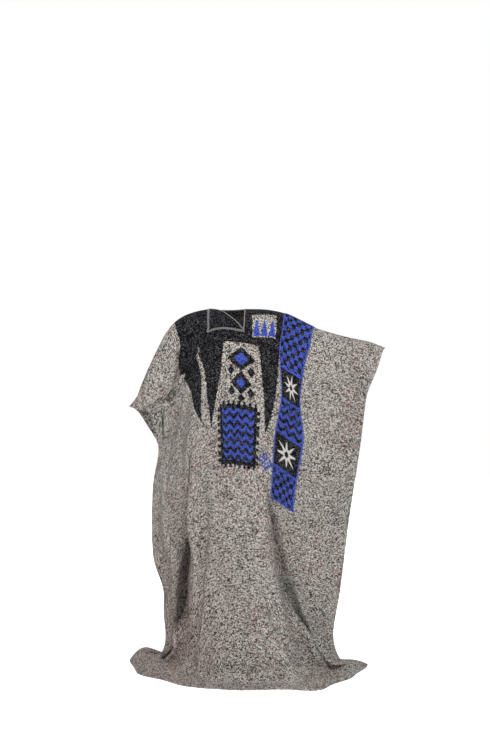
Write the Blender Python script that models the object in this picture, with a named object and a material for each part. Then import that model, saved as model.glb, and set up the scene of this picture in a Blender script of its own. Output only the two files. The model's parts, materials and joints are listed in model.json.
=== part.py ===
"""Grand boubou robe, worn: a wide front and back, neck edging, neck patch and shoulder strip.

Metres, +Z up, the front towards -Y. The origin is the middle of the neck on the shoulder line.
Each panel is a wall round a sheet of points. A point of a sheet is named by s, its distance
across the cloth from the middle (positive to +X), and v, its share of the way down the cloth
from the shoulder line to the hem. The sheet rolls over the shoulder, falls and lands on the floor.
"""

import math
from collections import namedtuple

import bmesh
import bpy
from mathutils import Vector

# Driving dimensions of the cloth
HALF_SPAN = 0.62  # middle of the neck to the sleeve edge, along the cloth
CLOTH = 0.0028  # thickness of the heavy woven cloth
SEAM_GAP = 0.0003  # clear distance between sewn pieces
FLOOR = -1.425  # height of the floor under the hem

# A sleeve edge is open for a share of the way down, half of its width each way from its middle;
# its front is lifted where the forearm bends
Cuff = namedtuple("Cuff", "share half lift")
CUFF_LEFT = Cuff(0.120, 0.052, 0.150)
CUFF_RIGHT = Cuff(0.140, 0.052, 0.000)
HEM_EASE = 0.0035  # the side seam opens by this each way where it lies on the floor
FOLD_ROOM = 0.70  # share of the way to the side seam's plane that a fold may take

# Roll of the cloth over the shoulder, and its landing on the floor
ROLL_ARM = 0.050
ROLL_FRONT = 0.105
ROLL_BACK = 0.095
ROLL_REACH = 0.17
Landing = namedtuple("Landing", "radius run lip power")
LAND_FRONT = Landing(0.050, 0.022, 0.006, None)
LAND_BACK = Landing(0.080, 0.060, 0.012, None)
LAND_RIGHT = Landing(0.190, 0.050, 0.030, 2.8)
LAND_LEFT = Landing(0.200, 0.082, 0.066, 3.6)

# Directions in plan in which the hem spreads, in degrees from +X
SPREAD_FRONT = -90
SPREAD_BACK = 90
SPREAD_RIGHT = 50
SPREAD_LEFT = 127

# Neck opening, cut on the slant
NECK_LEFT = -0.078
NECK_RIGHT = 0.067
NECK_SHARE = 0.094
BACK_NECK_SHARE = 0.020
NECK_ROWS = (0.0, 0.07, 0.22, 0.40, 0.58, 0.79, 1.0)

# Shoulder strip, neck patch and neck edging
STRIP_LEFT = 0.222
STRIP_RIGHT = 0.352
STRIP_SHARE = 0.495
APPLIQUE = 0.0016
CORD = 0.0042
CORD_SIDES = 6
PATCH_END = 0.045  # the patch stops here, short of the point of the neck

# Columns and rows of the panels
COLUMN_BREAKS = (
    (-HALF_SPAN, NECK_LEFT, 21),
    (NECK_LEFT, NECK_RIGHT, 9),
    (NECK_RIGHT, STRIP_LEFT, 5),
    (STRIP_LEFT, STRIP_RIGHT, 5),
    (STRIP_RIGHT, HALF_SPAN, 11),
)
ROW_BREAKS = ((NECK_SHARE, STRIP_SHARE, 14), (STRIP_SHARE, 0.80, 8), (0.80, 1.0, 10))

Ridge = namedtuple("Ridge", "s y z")
RIDGE = [
    Ridge(-0.62, -0.150, -0.372),
    Ridge(-0.55, -0.125, -0.318),
    Ridge(-0.44, -0.085, -0.224),
    Ridge(-0.34, -0.045, -0.141),
    Ridge(-0.27, -0.020, -0.084),
    Ridge(-0.21, -0.006, -0.042),
    Ridge(-0.15, 0.000, -0.016),
    Ridge(-0.07, 0.000, -0.001),
    Ridge(0.07, 0.000, -0.001),
    Ridge(0.15, 0.000, -0.004),
    Ridge(0.22, -0.004, -0.020),
    Ridge(0.29, -0.018, -0.050),
    Ridge(0.36, -0.035, -0.080),
    Ridge(0.48, -0.070, -0.113),
    Ridge(0.56, -0.095, -0.130),
    Ridge(0.62, -0.115, -0.152),
]

Section = namedtuple("Section", "v x_left x_mid x_right y_left y_right y_front y_back lean")
SECTIONS = [
    Section(0.00, -0.367, 0.000, 0.593, -0.150, -0.115, -0.105, 0.095, 0.00),
    Section(0.07, -0.312, 0.000, 0.560, -0.128, -0.108, -0.115, 0.105, 0.00),
    Section(0.14, -0.262, 0.002, 0.526, -0.100, -0.100, -0.130, 0.122, 0.03),
    Section(0.27, -0.286, 0.008, 0.503, -0.050, -0.075, -0.150, 0.135, 0.12),
    Section(0.48, -0.288, 0.020, 0.461, 0.005, -0.030, -0.150, 0.145, 0.27),
    Section(0.58, -0.252, 0.028, 0.445, 0.030, -0.010, -0.145, 0.165, 0.25),
    Section(0.66, -0.250, 0.034, 0.431, 0.045, 0.000, -0.138, 0.185, 0.20),
    Section(0.78, -0.236, 0.042, 0.406, 0.085, 0.030, -0.124, 0.215, 0.10),
    Section(1.00, -0.236, 0.050, 0.406, 0.115, 0.060, -0.105, 0.260, 0.00),
]

# A soft trough in a panel; a negative depth is a ridge. Its line runs from s_top to s_hem,
# straight at a sweep of 1 and turning outwards lower down at a higher one.
# Its depth grows from v_start to v_full and ends as depth_hem.
Fold = namedtuple("Fold", "name s_top s_hem sweep v_start v_full width depth depth_hem")
FRONT_FOLDS = [
    Fold("arm ridge", -0.440, -0.490, 1.0, 0.04, 0.26, 0.080, -0.016, -0.010),
    Fold("under sleeve", -0.550, -0.560, 1.0, 0.28, 0.50, 0.060, 0.028, 0.020),
    Fold("armpit", -0.320, -0.410, 1.0, 0.12, 0.34, 0.080, 0.056, 0.035),
    Fold("left", -0.240, -0.600, 2.2, 0.34, 0.70, 0.062, 0.070, 0.075),
    Fold("left soft", -0.140, -0.560, 4.0, 0.26, 0.50, 0.060, 0.016, 0.006),
    Fold("right", 0.175, 0.560, 3.0, 0.46, 0.72, 0.070, 0.055, 0.075),
    Fold("right ridge", 0.110, 0.320, 2.0, 0.50, 0.86, 0.085, -0.014, -0.055),
    Fold("right soft", 0.120, 0.780, 2.0, 0.50, 0.78, 0.060, 0.022, 0.024),
    Fold("strip tuck", 0.310, 0.340, 1.0, 0.15, 0.24, 0.052, 0.026, 0.000),
]
BACK_FOLDS = [
    Fold("under sleeve", -0.540, -0.540, 1.0, 0.28, 0.50, 0.055, 0.028, 0.020),
    Fold("arm ridge", -0.440, -0.470, 1.0, 0.06, 0.22, 0.060, -0.030, -0.010),
    Fold("armpit", -0.335, -0.390, 1.0, 0.14, 0.30, 0.065, 0.052, 0.035),
    Fold("left", -0.200, -0.250, 1.0, 0.30, 0.66, 0.060, 0.052, 0.066),
    Fold("middle", -0.020, -0.040, 1.0, 0.42, 0.74, 0.060, 0.034, 0.052),
    Fold("right", 0.150, 0.200, 1.0, 0.34, 0.70, 0.060, 0.050, 0.060),
    Fold("right soft", 0.310, 0.410, 1.0, 0.50, 0.78, 0.056, 0.030, 0.044),
    Fold("right side", 0.490, 0.530, 1.0, 0.16, 0.40, 0.055, 0.040, 0.030),
]

FRONT = -1
BACK = 1
STEPS = 124  # points worked out along each half of a row


def smooth(low, high, x):
    """0 below low, 1 above high, and an eased rise between."""
    q = min(1.0, max(0.0, (x - low) / (high - low)))
    return q * q * (3 - 2 * q)


def mix(a, b, share):
    return a + (b - a) * share


def along(rows, key, column, x):
    """A column of a table read at x, on a smooth curve through its rows."""
    spot = [getattr(row, key) for row in rows]
    value = [getattr(row, column) for row in rows]
    last = len(rows) - 1
    x = min(spot[last], max(spot[0], x))
    i = next(k for k in range(last) if x <= spot[k + 1])

    def slope(k):
        low, high = max(0, k - 1), min(last, k + 1)
        return (value[high] - value[low]) / (spot[high] - spot[low])

    span = spot[i + 1] - spot[i]
    u = (x - spot[i]) / span
    start = (1 + 2 * u) * (1 - u) ** 2 * value[i] + u * (1 - u) ** 2 * span * slope(i)
    end = u * u * (3 - 2 * u) * value[i + 1] + u * u * (u - 1) * span * slope(i + 1)
    return start + end


def column_shape(side, s):
    """Fall from the shoulder line, roll radius and the landing's radius, run and lip."""
    fall = along(RIDGE, "s", "z", s) - FLOOR - CLOTH / 2
    chest = ROLL_FRONT if side == FRONT else ROLL_BACK
    roll = mix(ROLL_ARM, chest, math.exp(-((s / ROLL_REACH) ** 2)))
    q = abs(s) / HALF_SPAN
    middle = LAND_FRONT if side == FRONT else LAND_BACK
    edge = LAND_LEFT if s < 0 else LAND_RIGHT
    radius, run, lip = (mix(a, b, q**edge.power) for a, b in zip(middle[:3], edge[:3]))
    return fall, roll, radius, run, lip


def column_length(side, s):
    """Length of the cloth from the shoulder line to the hem."""
    fall, roll, radius, run, _ = column_shape(side, s)
    return fall + (math.pi / 2 - 1) * (roll + radius) + run


def column_point(side, s, t):
    """Drop below the shoulder line, share of the roll done, and reach out on landing."""
    fall, roll, radius, run, lip = column_shape(side, s)
    t_hang = roll * math.pi / 2
    t_land = t_hang + fall - roll - radius
    if t <= t_hang:
        return roll * (1 - math.cos(t / roll)), math.sin(t / roll), 0.0
    if t <= t_land:
        return roll + t - t_hang, 1.0, 0.0
    turn = min(math.pi / 2, (t - t_land) / radius)
    lying = t - t_land - turn * radius
    arc_left = radius * math.pi / 4
    share = max(0.0, (t - t_land - arc_left) / (arc_left + run))
    drop = fall - radius * (1 - math.sin(turn)) - lip * math.sin(math.pi * share)
    return drop, 1.0, radius * (1 - math.cos(turn)) + lying


def spread(side, s):
    """Direction in plan in which the hem spreads on the floor."""
    if side == FRONT:
        middle, edge = SPREAD_FRONT, SPREAD_RIGHT if s > 0 else SPREAD_LEFT - 360
    else:
        middle, edge = SPREAD_BACK, SPREAD_RIGHT if s > 0 else SPREAD_LEFT
    angle = math.radians(mix(middle, edge, max(0.0, abs(s) / HALF_SPAN - 0.28) / 0.72))
    return Vector((math.cos(angle), math.sin(angle), 0))


def fold_depth(side, s, v):
    """How far the folds draw the panel inwards there."""
    total = 0.0
    for fold in FRONT_FOLDS if side == FRONT else BACK_FOLDS:
        away = abs(s - mix(fold.s_top, fold.s_hem, v**fold.sweep)) / fold.width
        if away < 2.4 and v > fold.v_start:
            depth = fold.depth * smooth(fold.v_start, fold.v_full, v)
            depth = mix(depth, fold.depth_hem, smooth(fold.v_full, 1.0, v))
            total += depth * math.exp(-1.6 * away * away)
    return total


def sheet_y(side, s, v):
    """y of a panel before it spreads on the floor; folds stop short of the side seam's plane."""
    q = abs(s) / HALF_SPAN
    _, rolled, _ = column_point(side, s, v * column_length(side, s))
    roll = column_shape(side, s)[1]
    ridge_y = along(RIDGE, "s", "y", s) + side * SEAM_GAP / 2
    edge_y = along(SECTIONS, "v", "y_left" if s < 0 else "y_right", v)
    middle_y = along(SECTIONS, "v", "y_front" if side == FRONT else "y_back", v)
    depth = side * (middle_y - edge_y) * (1 - q**1.9)
    room = FOLD_ROOM * depth + 1e-4
    fold = fold_depth(side, s, v)
    depth -= fold if fold < 0 else room * (1 - math.exp(-fold / room))
    closed = (CLOTH + SEAM_GAP) / 2 + HEM_EASE * smooth(0.55, 0.74, v)
    hung = edge_y + side * (depth + closed * smooth(0.8, 1.0, q))
    hung = mix(ridge_y + side * roll, hung, smooth(0.06, 0.26, v))
    body = mix(ridge_y, hung, rolled)
    cuff = CUFF_LEFT if s < 0 else CUFF_RIGHT
    open_cuff = cuff.half * math.sin(math.pi * min(1.0, v / cuff.share))
    closed = closed if v > cuff.share / 2 else SEAM_GAP / 2
    near_cuff = smooth(0.84, 1.0, q) * (1 - smooth(cuff.share, 0.26, v))
    return mix(body, edge_y + side * max(closed, open_cuff), near_cuff)


def cuff_lift(side, s, v):
    """How far the front of a sleeve edge is lifted."""
    cuff = CUFF_LEFT if s < 0 else CUFF_RIGHT
    u = v / cuff.share
    if side == BACK or u > 1:
        return 0.0
    return cuff.lift * u * u * (1 - u**6) * smooth(0.70, 1.0, abs(s) / HALF_SPAN)


def sheet_row(side, v, half):
    """Points (x, y, z, reach) of half a row, from the middle to the side edge."""
    across = HALF_SPAN / STEPS
    row = []
    gone = 0.0
    for i in range(STEPS + 1):
        s = half * across * i
        drop, _, reach = column_point(side, s, v * column_length(side, s))
        y = sheet_y(side, s, v)
        z = along(RIDGE, "s", "z", s) - drop + cuff_lift(side, s, v)
        if row:
            used = (y - row[-1][1]) ** 2 + (z - row[-1][2]) ** 2
            gone += math.sqrt(max(0.06 * across**2, across**2 - used))
        row.append([gone, y, z, reach])
    middle = along(SECTIONS, "v", "x_mid", v)
    edge = along(SECTIONS, "v", "x_right" if half > 0 else "x_left", v)
    lean = along(SECTIONS, "v", "lean", v) if half > 0 else 0.0
    for point in row:
        share = point[0] / gone
        point[0] = mix(middle, edge, share - lean * share * (1 - share))
    return row


class Sheet:
    """The middle of one panel's cloth."""

    def __init__(self, side):
        self.side = side
        self.rows = {}

    def at(self, s, v):
        half = 1 if s >= 0 else -1
        key = (round(v, 6), half)
        if key not in self.rows:
            self.rows[key] = sheet_row(self.side, key[0], half)
        row = self.rows[key]
        spot = min(STEPS - 0.0001, abs(s) / HALF_SPAN * STEPS)
        i = int(spot)
        x, y, z, reach = (mix(row[i][k], row[i + 1][k], spot - i) for k in range(4))
        return Vector((x, y, z)) + spread(self.side, s) * reach

    def normal(self, s, v):
        """Outward direction, by differences over the neighbouring points."""
        ds, dv = HALF_SPAN / STEPS, 0.004
        s = min(HALF_SPAN - ds, max(ds - HALF_SPAN, s))
        over = self.at(s + ds, v) - self.at(s - ds, v)
        if v < dv:
            down = Vector((0, self.side, 0))
        else:
            down = self.at(s, min(1.0, v + dv)) - self.at(s, v - dv)
        return (over.cross(down) * self.side).normalized()


def columns(low, high):
    """Column positions of the front from low to high, which both are breaks."""
    spots = []
    for start, end, count in COLUMN_BREAKS:
        if start >= low - 1e-9 and end <= high + 1e-9:
            spots += [mix(start, end, i / count) for i in range(count)]
    return spots + [high]


def rows_below_neck():
    spots = []
    for start, end, count in ROW_BREAKS:
        spots += [mix(start, end, i / count) for i in range(count)]
    return spots + [1.0]


def grid(spots, rows_at):
    """Faces, each a list of (s, v), between columns; rows_at(s, left) gives a column's rows."""
    faces = []
    for a, b in zip(spots, spots[1:]):
        rows_a, rows_b = rows_at(a, False), rows_at(b, True)
        for j in range(len(rows_a) - 1):
            ring = [(a, rows_a[j]), (b, rows_b[j]), (b, rows_b[j + 1]), (a, rows_a[j + 1])]
            ring = [(round(s, 6), round(v, 6)) for s, v in ring]
            ring = [p for k, p in enumerate(ring) if p != ring[k - 1]]
            if len(ring) > 2:
                faces.append(ring)
    return faces


def neck_top(side, s):
    """Where the cloth starts below the shoulder line, across the neck opening."""
    u = (s - NECK_LEFT) / (NECK_RIGHT - NECK_LEFT)
    if u < 0 or u > 1:
        return 0.0
    if side == FRONT:
        return NECK_SHARE * u
    return BACK_NECK_SHARE * math.sqrt(max(0.0, 1 - (2 * u - 1) ** 2))


def panel_faces(side):
    def rows_at(s, left):
        top = neck_top(side, s)
        if side == FRONT and not left and abs(s - NECK_RIGHT) < 1e-6:
            top = 0.0
        start = [mix(top, NECK_SHARE, share) for share in NECK_ROWS]
        return start[:-1] + rows_below_neck()

    return grid(columns(-HALF_SPAN, HALF_SPAN), rows_at)


def patch_faces():
    def rows_at(s, left):
        return [mix(neck_top(FRONT, s), NECK_SHARE, share) for share in NECK_ROWS[1:]]

    return grid([s for s in columns(NECK_LEFT, NECK_RIGHT) if s < PATCH_END], rows_at)


def strip_faces():
    def rows_at(s, left):
        upper = [NECK_SHARE * share for share in NECK_ROWS[1:-1]]
        return upper + [v for v in rows_below_neck() if v < STRIP_SHARE + 1e-6]

    return grid(columns(STRIP_LEFT, STRIP_RIGHT), rows_at)


def principled(name, colour, roughness):
    mat = bpy.data.materials.new(name)
    mat.use_nodes = True
    shader = mat.node_tree.nodes["Principled BSDF"]
    shader.inputs["Base Color"].default_value = (*colour, 1)
    shader.inputs["Roughness"].default_value = roughness
    return mat


def finish(name, points, faces, mat):
    """A mesh object from points and faces, with its normals turned outwards."""
    mesh = bpy.data.meshes.new(name)
    mesh.from_pydata(points, [], faces)
    work = bmesh.new()
    work.from_mesh(mesh)
    bmesh.ops.triangulate(work, faces=work.faces, quad_method="SHORT_EDGE")
    bmesh.ops.recalc_face_normals(work, faces=work.faces)
    work.to_mesh(mesh)
    work.free()
    mesh.materials.append(mat)
    piece = bpy.data.objects.new(name, mesh)
    bpy.context.scene.collection.objects.link(piece)
    return piece


def wall(name, sheet, faces, low, high, mat):
    """A closed wall on the faces' points, from low to high along the outward direction."""
    keys = sorted({key for face in faces for key in face})
    index = {key: i for i, key in enumerate(keys)}
    middle = [sheet.at(*key) for key in keys]
    outward = [sheet.normal(*key) for key in keys]
    count = len(keys)
    points = [p + n * high for p, n in zip(middle, outward)]
    points += [p + n * low for p, n in zip(middle, outward)]
    rings = [[index[key] for key in face] for face in faces]
    walls = list(rings)
    walls += [[count + i for i in reversed(ring)] for ring in rings]
    edges = {}
    for ring in rings:
        for a, b in zip(ring, ring[1:] + ring[:1]):
            edges[(a, b)] = True
    for a, b in edges:
        if (b, a) not in edges:
            walls.append([b, a, count + a, count + b])
    return finish(name, points, walls, mat)


def neck_outline(inset):
    """Closed outline of the neck opening as (s, v, side), inset into the opening."""
    spots = columns(NECK_LEFT, NECK_RIGHT)
    length = column_length(FRONT, 0)
    outline = [Vector((s, neck_top(FRONT, s) * length)) for s in spots[:-1]]
    outline += [Vector((NECK_RIGHT, NECK_SHARE * share * length)) for share in reversed(NECK_ROWS)]
    outline += [Vector((s, -neck_top(BACK, s) * length)) for s in reversed(spots[1:-1])]
    moved = []
    for i, p in enumerate(outline):
        before = (p - outline[i - 1]).normalized()
        after = (outline[(i + 1) % len(outline)] - p).normalized()
        mitre = (Vector((before.y, -before.x)) + Vector((after.y, -after.x))).normalized()
        stretch = max(0.36, mitre.dot(Vector((after.y, -after.x))))
        moved.append(p + mitre * inset / stretch)
    return [(p.x, abs(p.y) / length, FRONT if p.y >= 0 else BACK) for p in moved]


def cord(name, front, back, inset, mat):
    """A round cord along the edge of the neck opening."""
    outline = neck_outline(inset)
    path = [(front if side == FRONT else back).at(s, v) for s, v, side in outline]
    outward = [(front if side == FRONT else back).normal(s, v) for s, v, side in outline]
    count = len(path)
    points = []
    for i in range(count):
        before = (path[i] - path[i - 1]).normalized()
        after = (path[(i + 1) % count] - path[i]).normalized()
        run = (before + after).normalized()
        side_way = run.cross(outward[i]).normalized()
        up = side_way.cross(run).normalized()
        stretch = 1 / max(0.6, run.dot(after))
        for k in range(CORD_SIDES):
            angle = 2 * math.pi * k / CORD_SIDES
            offset = side_way * math.cos(angle) * stretch + up * math.sin(angle)
            points.append(path[i] + offset * CORD / 2)
    faces = []
    for i in range(count):
        j = (i + 1) % count
        for k in range(CORD_SIDES):
            m = (k + 1) % CORD_SIDES
            rings = (i * CORD_SIDES, j * CORD_SIDES)
            faces.append([rings[0] + k, rings[0] + m, rings[1] + m, rings[1] + k])
    return finish(name, points, faces, mat)


def main():
    for old in list(bpy.data.objects):
        bpy.data.objects.remove(old, do_unlink=True)
    grey = principled("woven grey", (0.42, 0.39, 0.36), 0.92)
    charcoal = principled("charcoal", (0.035, 0.036, 0.040), 0.92)
    blue = principled("blue strip", (0.045, 0.075, 0.36), 0.90)
    cord_grey = principled("cord grey", (0.45, 0.44, 0.43), 0.85)
    front, back = Sheet(FRONT), Sheet(BACK)
    half = CLOTH / 2
    on_top = half + SEAM_GAP
    wall("front", front, panel_faces(FRONT), -half, half, grey)
    wall("back", back, panel_faces(BACK), -half, half, grey)
    wall("neck_patch", front, patch_faces(), on_top, on_top + APPLIQUE, charcoal)
    wall("shoulder_strip", front, strip_faces(), on_top, on_top + APPLIQUE, blue)
    cord("neck_edging", front, back, CORD / 2 + 2 * SEAM_GAP, cord_grey)


main()
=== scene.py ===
"""Looks of the grand boubou robe: panels, neck patch, shoulder strip, neck cord and stitching.

Metres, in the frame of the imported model: +Z up, the front towards -Y, the origin at the middle
of the neck on the shoulder line. A point of the cloth is named by s, its distance across from
the middle, and v, its share of the way down from the shoulder line to the hem, or t, the same
in metres.
"""

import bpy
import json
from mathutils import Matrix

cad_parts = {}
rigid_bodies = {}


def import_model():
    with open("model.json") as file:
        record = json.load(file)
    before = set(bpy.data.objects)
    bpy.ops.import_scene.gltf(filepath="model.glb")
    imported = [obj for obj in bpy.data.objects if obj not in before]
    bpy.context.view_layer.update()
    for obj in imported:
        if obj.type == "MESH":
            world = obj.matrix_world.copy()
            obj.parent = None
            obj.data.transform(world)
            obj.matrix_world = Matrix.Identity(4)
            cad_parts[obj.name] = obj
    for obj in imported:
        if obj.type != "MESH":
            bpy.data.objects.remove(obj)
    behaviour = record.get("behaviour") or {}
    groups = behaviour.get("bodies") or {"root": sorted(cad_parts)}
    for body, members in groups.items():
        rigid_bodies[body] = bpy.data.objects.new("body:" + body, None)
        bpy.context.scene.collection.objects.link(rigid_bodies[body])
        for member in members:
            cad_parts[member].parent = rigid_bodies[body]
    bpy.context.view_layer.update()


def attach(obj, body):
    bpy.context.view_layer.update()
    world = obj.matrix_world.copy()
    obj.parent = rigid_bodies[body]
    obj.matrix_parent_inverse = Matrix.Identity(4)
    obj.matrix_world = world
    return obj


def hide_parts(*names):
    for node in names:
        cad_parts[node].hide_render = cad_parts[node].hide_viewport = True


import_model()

import json
import math
from collections import namedtuple
from functools import partialmethod

import bmesh
import bpy
import numpy as np
from mathutils import Vector

bl_info = {
    "name": "Grand boubou robe",
    "version": (1, 0, 0),
    "blender": (4, 5, 0),
    "location": "3D View > Sidebar > Robe",
    "description": "Makes the cloth, trims and stage of a worn grand boubou robe",
    "category": "Object",
}

# Sizes of the cloth, as in the solids; only the side seam, HEM_EASE, is closed here
HALF_SPAN = 0.62
CLOTH = 0.0028
SEAM_GAP = 0.0003
FLOOR = -1.425
Cuff = namedtuple("Cuff", "share half lift")
CUFF_LEFT = Cuff(0.120, 0.052, 0.150)
CUFF_RIGHT = Cuff(0.140, 0.052, 0.000)
HEM_EASE = 0.0002
FOLD_ROOM = 0.70
ROLL_ARM, ROLL_FRONT, ROLL_BACK, ROLL_REACH = 0.050, 0.105, 0.095, 0.17
Landing = namedtuple("Landing", "radius run lip power")
LAND_FRONT = Landing(0.050, 0.022, 0.006, None)
LAND_BACK = Landing(0.080, 0.060, 0.012, None)
LAND_RIGHT = Landing(0.190, 0.050, 0.030, 2.8)
LAND_LEFT = Landing(0.200, 0.082, 0.066, 3.6)
SPREAD_FRONT, SPREAD_BACK, SPREAD_RIGHT, SPREAD_LEFT = -90, 90, 50, 127
NECK_LEFT, NECK_RIGHT = -0.078, 0.067
NECK_SHARE, BACK_NECK_SHARE = 0.094, 0.020

# Trims on the front, and how far their middles and stitches lie off the cloth's middle
CORD = 0.0042
CORD_LAY = 0.0085  # length of one turn of its strands
CORD_STEP = 0.0011
TRIM_OUT = CLOTH / 2 + SEAM_GAP
TRIM_CLOTH = 0.0014
TRIM_STITCHES = TRIM_OUT + 0.0022
PATCH_SIDES = (-0.113, 0.055)  # s of the patch's left foot and of its right edge
PATCH_FOOT = (0.084, 0.0925)  # share down of the patch's foot, at its left and at its right
PATCH_TOP = 0.0035  # share down from the neck's edge to the patch
PATCH_PUFF, STRIP_PUFF = 0.0009, 0.0007  # how much the middle stands out more than the edges
STRIP_OUT = TRIM_OUT + 0.0008
CHAIN_ROWS = (-0.0012, 0.0018)  # the two rows of chain stitch beside the patch's edge
STITCH_LINES = (0.022, 0.978)  # shares of the strip's width
HEM_ENDS, CUFF_INSET = 0.012, 0.018  # from the side seam, and from the sleeve's edge

# Camera, and the lights' names, places, sizes and the setting that holds their power
CAMERA_X, CAMERA_Z = 0.0655, -0.225
FOCAL, FILM, PICTURE = 1298, 24.0, 735  # in pixels, millimetres and pixels
LIGHTS = (
    ("key", (1.0, -3.4, 3.1), 1.6, "key"),
    ("fill", (-3.0, -3.2, 1.0), 2.6, "fill"),
    ("back", (-1.5, 3.6, 2.4), 2.6, "fill"),
)


def table(columns, *rows):
    """Rows with named columns."""
    kind = namedtuple("Row", columns)
    return [kind(*row) for row in rows]


RIDGE = table(
    "s y z",
    (-0.62, -0.150, -0.372),
    (-0.55, -0.125, -0.318),
    (-0.44, -0.085, -0.224),
    (-0.34, -0.045, -0.141),
    (-0.27, -0.020, -0.084),
    (-0.21, -0.006, -0.042),
    (-0.15, 0.000, -0.016),
    (-0.07, 0.000, -0.001),
    (0.07, 0.000, -0.001),
    (0.15, 0.000, -0.004),
    (0.22, -0.004, -0.020),
    (0.29, -0.018, -0.050),
    (0.36, -0.035, -0.080),
    (0.48, -0.070, -0.113),
    (0.56, -0.095, -0.130),
    (0.62, -0.115, -0.152),
)

SECTIONS = table(
    "v x_left x_mid x_right y_left y_right y_front y_back lean",
    (0.00, -0.367, 0.000, 0.593, -0.150, -0.115, -0.105, 0.095, 0.00),
    (0.07, -0.312, 0.000, 0.560, -0.128, -0.108, -0.115, 0.105, 0.00),
    (0.14, -0.262, 0.002, 0.526, -0.100, -0.100, -0.130, 0.122, 0.03),
    (0.27, -0.286, 0.008, 0.503, -0.050, -0.075, -0.150, 0.135, 0.12),
    (0.48, -0.288, 0.020, 0.461, 0.005, -0.030, -0.150, 0.145, 0.27),
    (0.58, -0.252, 0.028, 0.445, 0.030, -0.010, -0.145, 0.165, 0.25),
    (0.66, -0.250, 0.034, 0.431, 0.045, 0.000, -0.138, 0.185, 0.20),
    (0.78, -0.236, 0.042, 0.406, 0.085, 0.030, -0.124, 0.215, 0.10),
    (1.00, -0.236, 0.050, 0.406, 0.115, 0.060, -0.105, 0.260, 0.00),
)

# The main folds, as in the solids; a negative depth is a ridge
FOLD = "name s_top s_hem sweep v_start v_full width depth depth_hem"
FRONT_FOLDS = table(
    FOLD,
    ("arm ridge", -0.440, -0.490, 1.0, 0.04, 0.26, 0.080, -0.016, -0.010),
    ("under sleeve", -0.550, -0.560, 1.0, 0.28, 0.50, 0.060, 0.028, 0.020),
    ("armpit", -0.320, -0.410, 1.0, 0.12, 0.34, 0.080, 0.056, 0.035),
    ("left", -0.240, -0.600, 2.2, 0.34, 0.70, 0.062, 0.070, 0.075),
    ("left soft", -0.140, -0.560, 4.0, 0.26, 0.50, 0.060, 0.016, 0.006),
    ("right", 0.175, 0.560, 3.0, 0.46, 0.72, 0.070, 0.055, 0.075),
    ("right ridge", 0.110, 0.320, 2.0, 0.50, 0.86, 0.085, -0.014, -0.055),
    ("right soft", 0.120, 0.780, 2.0, 0.50, 0.78, 0.060, 0.022, 0.024),
    ("strip tuck", 0.310, 0.340, 1.0, 0.15, 0.24, 0.052, 0.026, 0.000),
)
BACK_FOLDS = table(
    FOLD,
    ("under sleeve", -0.540, -0.540, 1.0, 0.28, 0.50, 0.055, 0.028, 0.020),
    ("arm ridge", -0.440, -0.470, 1.0, 0.06, 0.22, 0.060, -0.030, -0.010),
    ("armpit", -0.335, -0.390, 1.0, 0.14, 0.30, 0.065, 0.052, 0.035),
    ("left", -0.200, -0.250, 1.0, 0.30, 0.66, 0.060, 0.052, 0.066),
    ("middle", -0.020, -0.040, 1.0, 0.42, 0.74, 0.060, 0.034, 0.052),
    ("right", 0.150, 0.200, 1.0, 0.34, 0.70, 0.060, 0.050, 0.060),
    ("right soft", 0.310, 0.410, 1.0, 0.50, 0.78, 0.056, 0.030, 0.044),
    ("right side", 0.490, 0.530, 1.0, 0.16, 0.40, 0.055, 0.040, 0.030),
)

# Small creases of the cloth from one point to another; a negative depth is a ridge
CREASE = "name s_top t_top s_end t_end width depth"
FRONT_CREASES = table(
    CREASE,
    ("over arm", -0.300, 0.12, -0.430, 0.52, 0.020, 0.0050),
    ("under arm", -0.390, 0.24, -0.470, 0.70, 0.018, 0.0045),
    ("sleeve", -0.500, 0.14, -0.545, 0.50, 0.020, -0.0040),
    ("left hip", -0.175, 0.58, -0.215, 1.08, 0.022, 0.0055),
    ("left low", -0.285, 0.82, -0.355, 1.30, 0.024, 0.0065),
    ("middle left", -0.055, 0.66, -0.070, 1.26, 0.024, 0.0045),
    ("middle", 0.035, 0.82, 0.050, 1.34, 0.026, 0.0050),
    ("middle right", 0.120, 0.86, 0.175, 1.36, 0.020, -0.0045),
    ("right drag", 0.290, 0.70, 0.400, 1.22, 0.022, 0.0055),
    ("right low", 0.395, 0.96, 0.520, 1.42, 0.026, 0.0065),
    ("strip drag", 0.390, 0.20, 0.315, 0.34, 0.015, 0.0045),
    ("upper sleeve", 0.420, 0.10, 0.500, 0.44, 0.024, -0.0045),
    ("sleeve end", 0.530, 0.16, 0.560, 0.62, 0.020, 0.0045),
    ("right side", 0.560, 0.66, 0.590, 1.22, 0.020, 0.0040),
    ("chest drag", 0.075, 0.16, -0.130, 0.40, 0.020, 0.0025),
    ("floor left", -0.320, 1.28, -0.170, 1.38, 0.018, 0.0060),
    ("floor left fold", -0.540, 1.30, -0.400, 1.29, 0.018, 0.0120),
    ("floor left turn", -0.400, 1.29, -0.320, 1.24, 0.018, 0.0090),
    ("floor middle", -0.050, 1.42, 0.130, 1.45, 0.014, 0.0040),
    ("floor right", 0.330, 1.47, 0.470, 1.44, 0.018, 0.0055),
)
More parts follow.
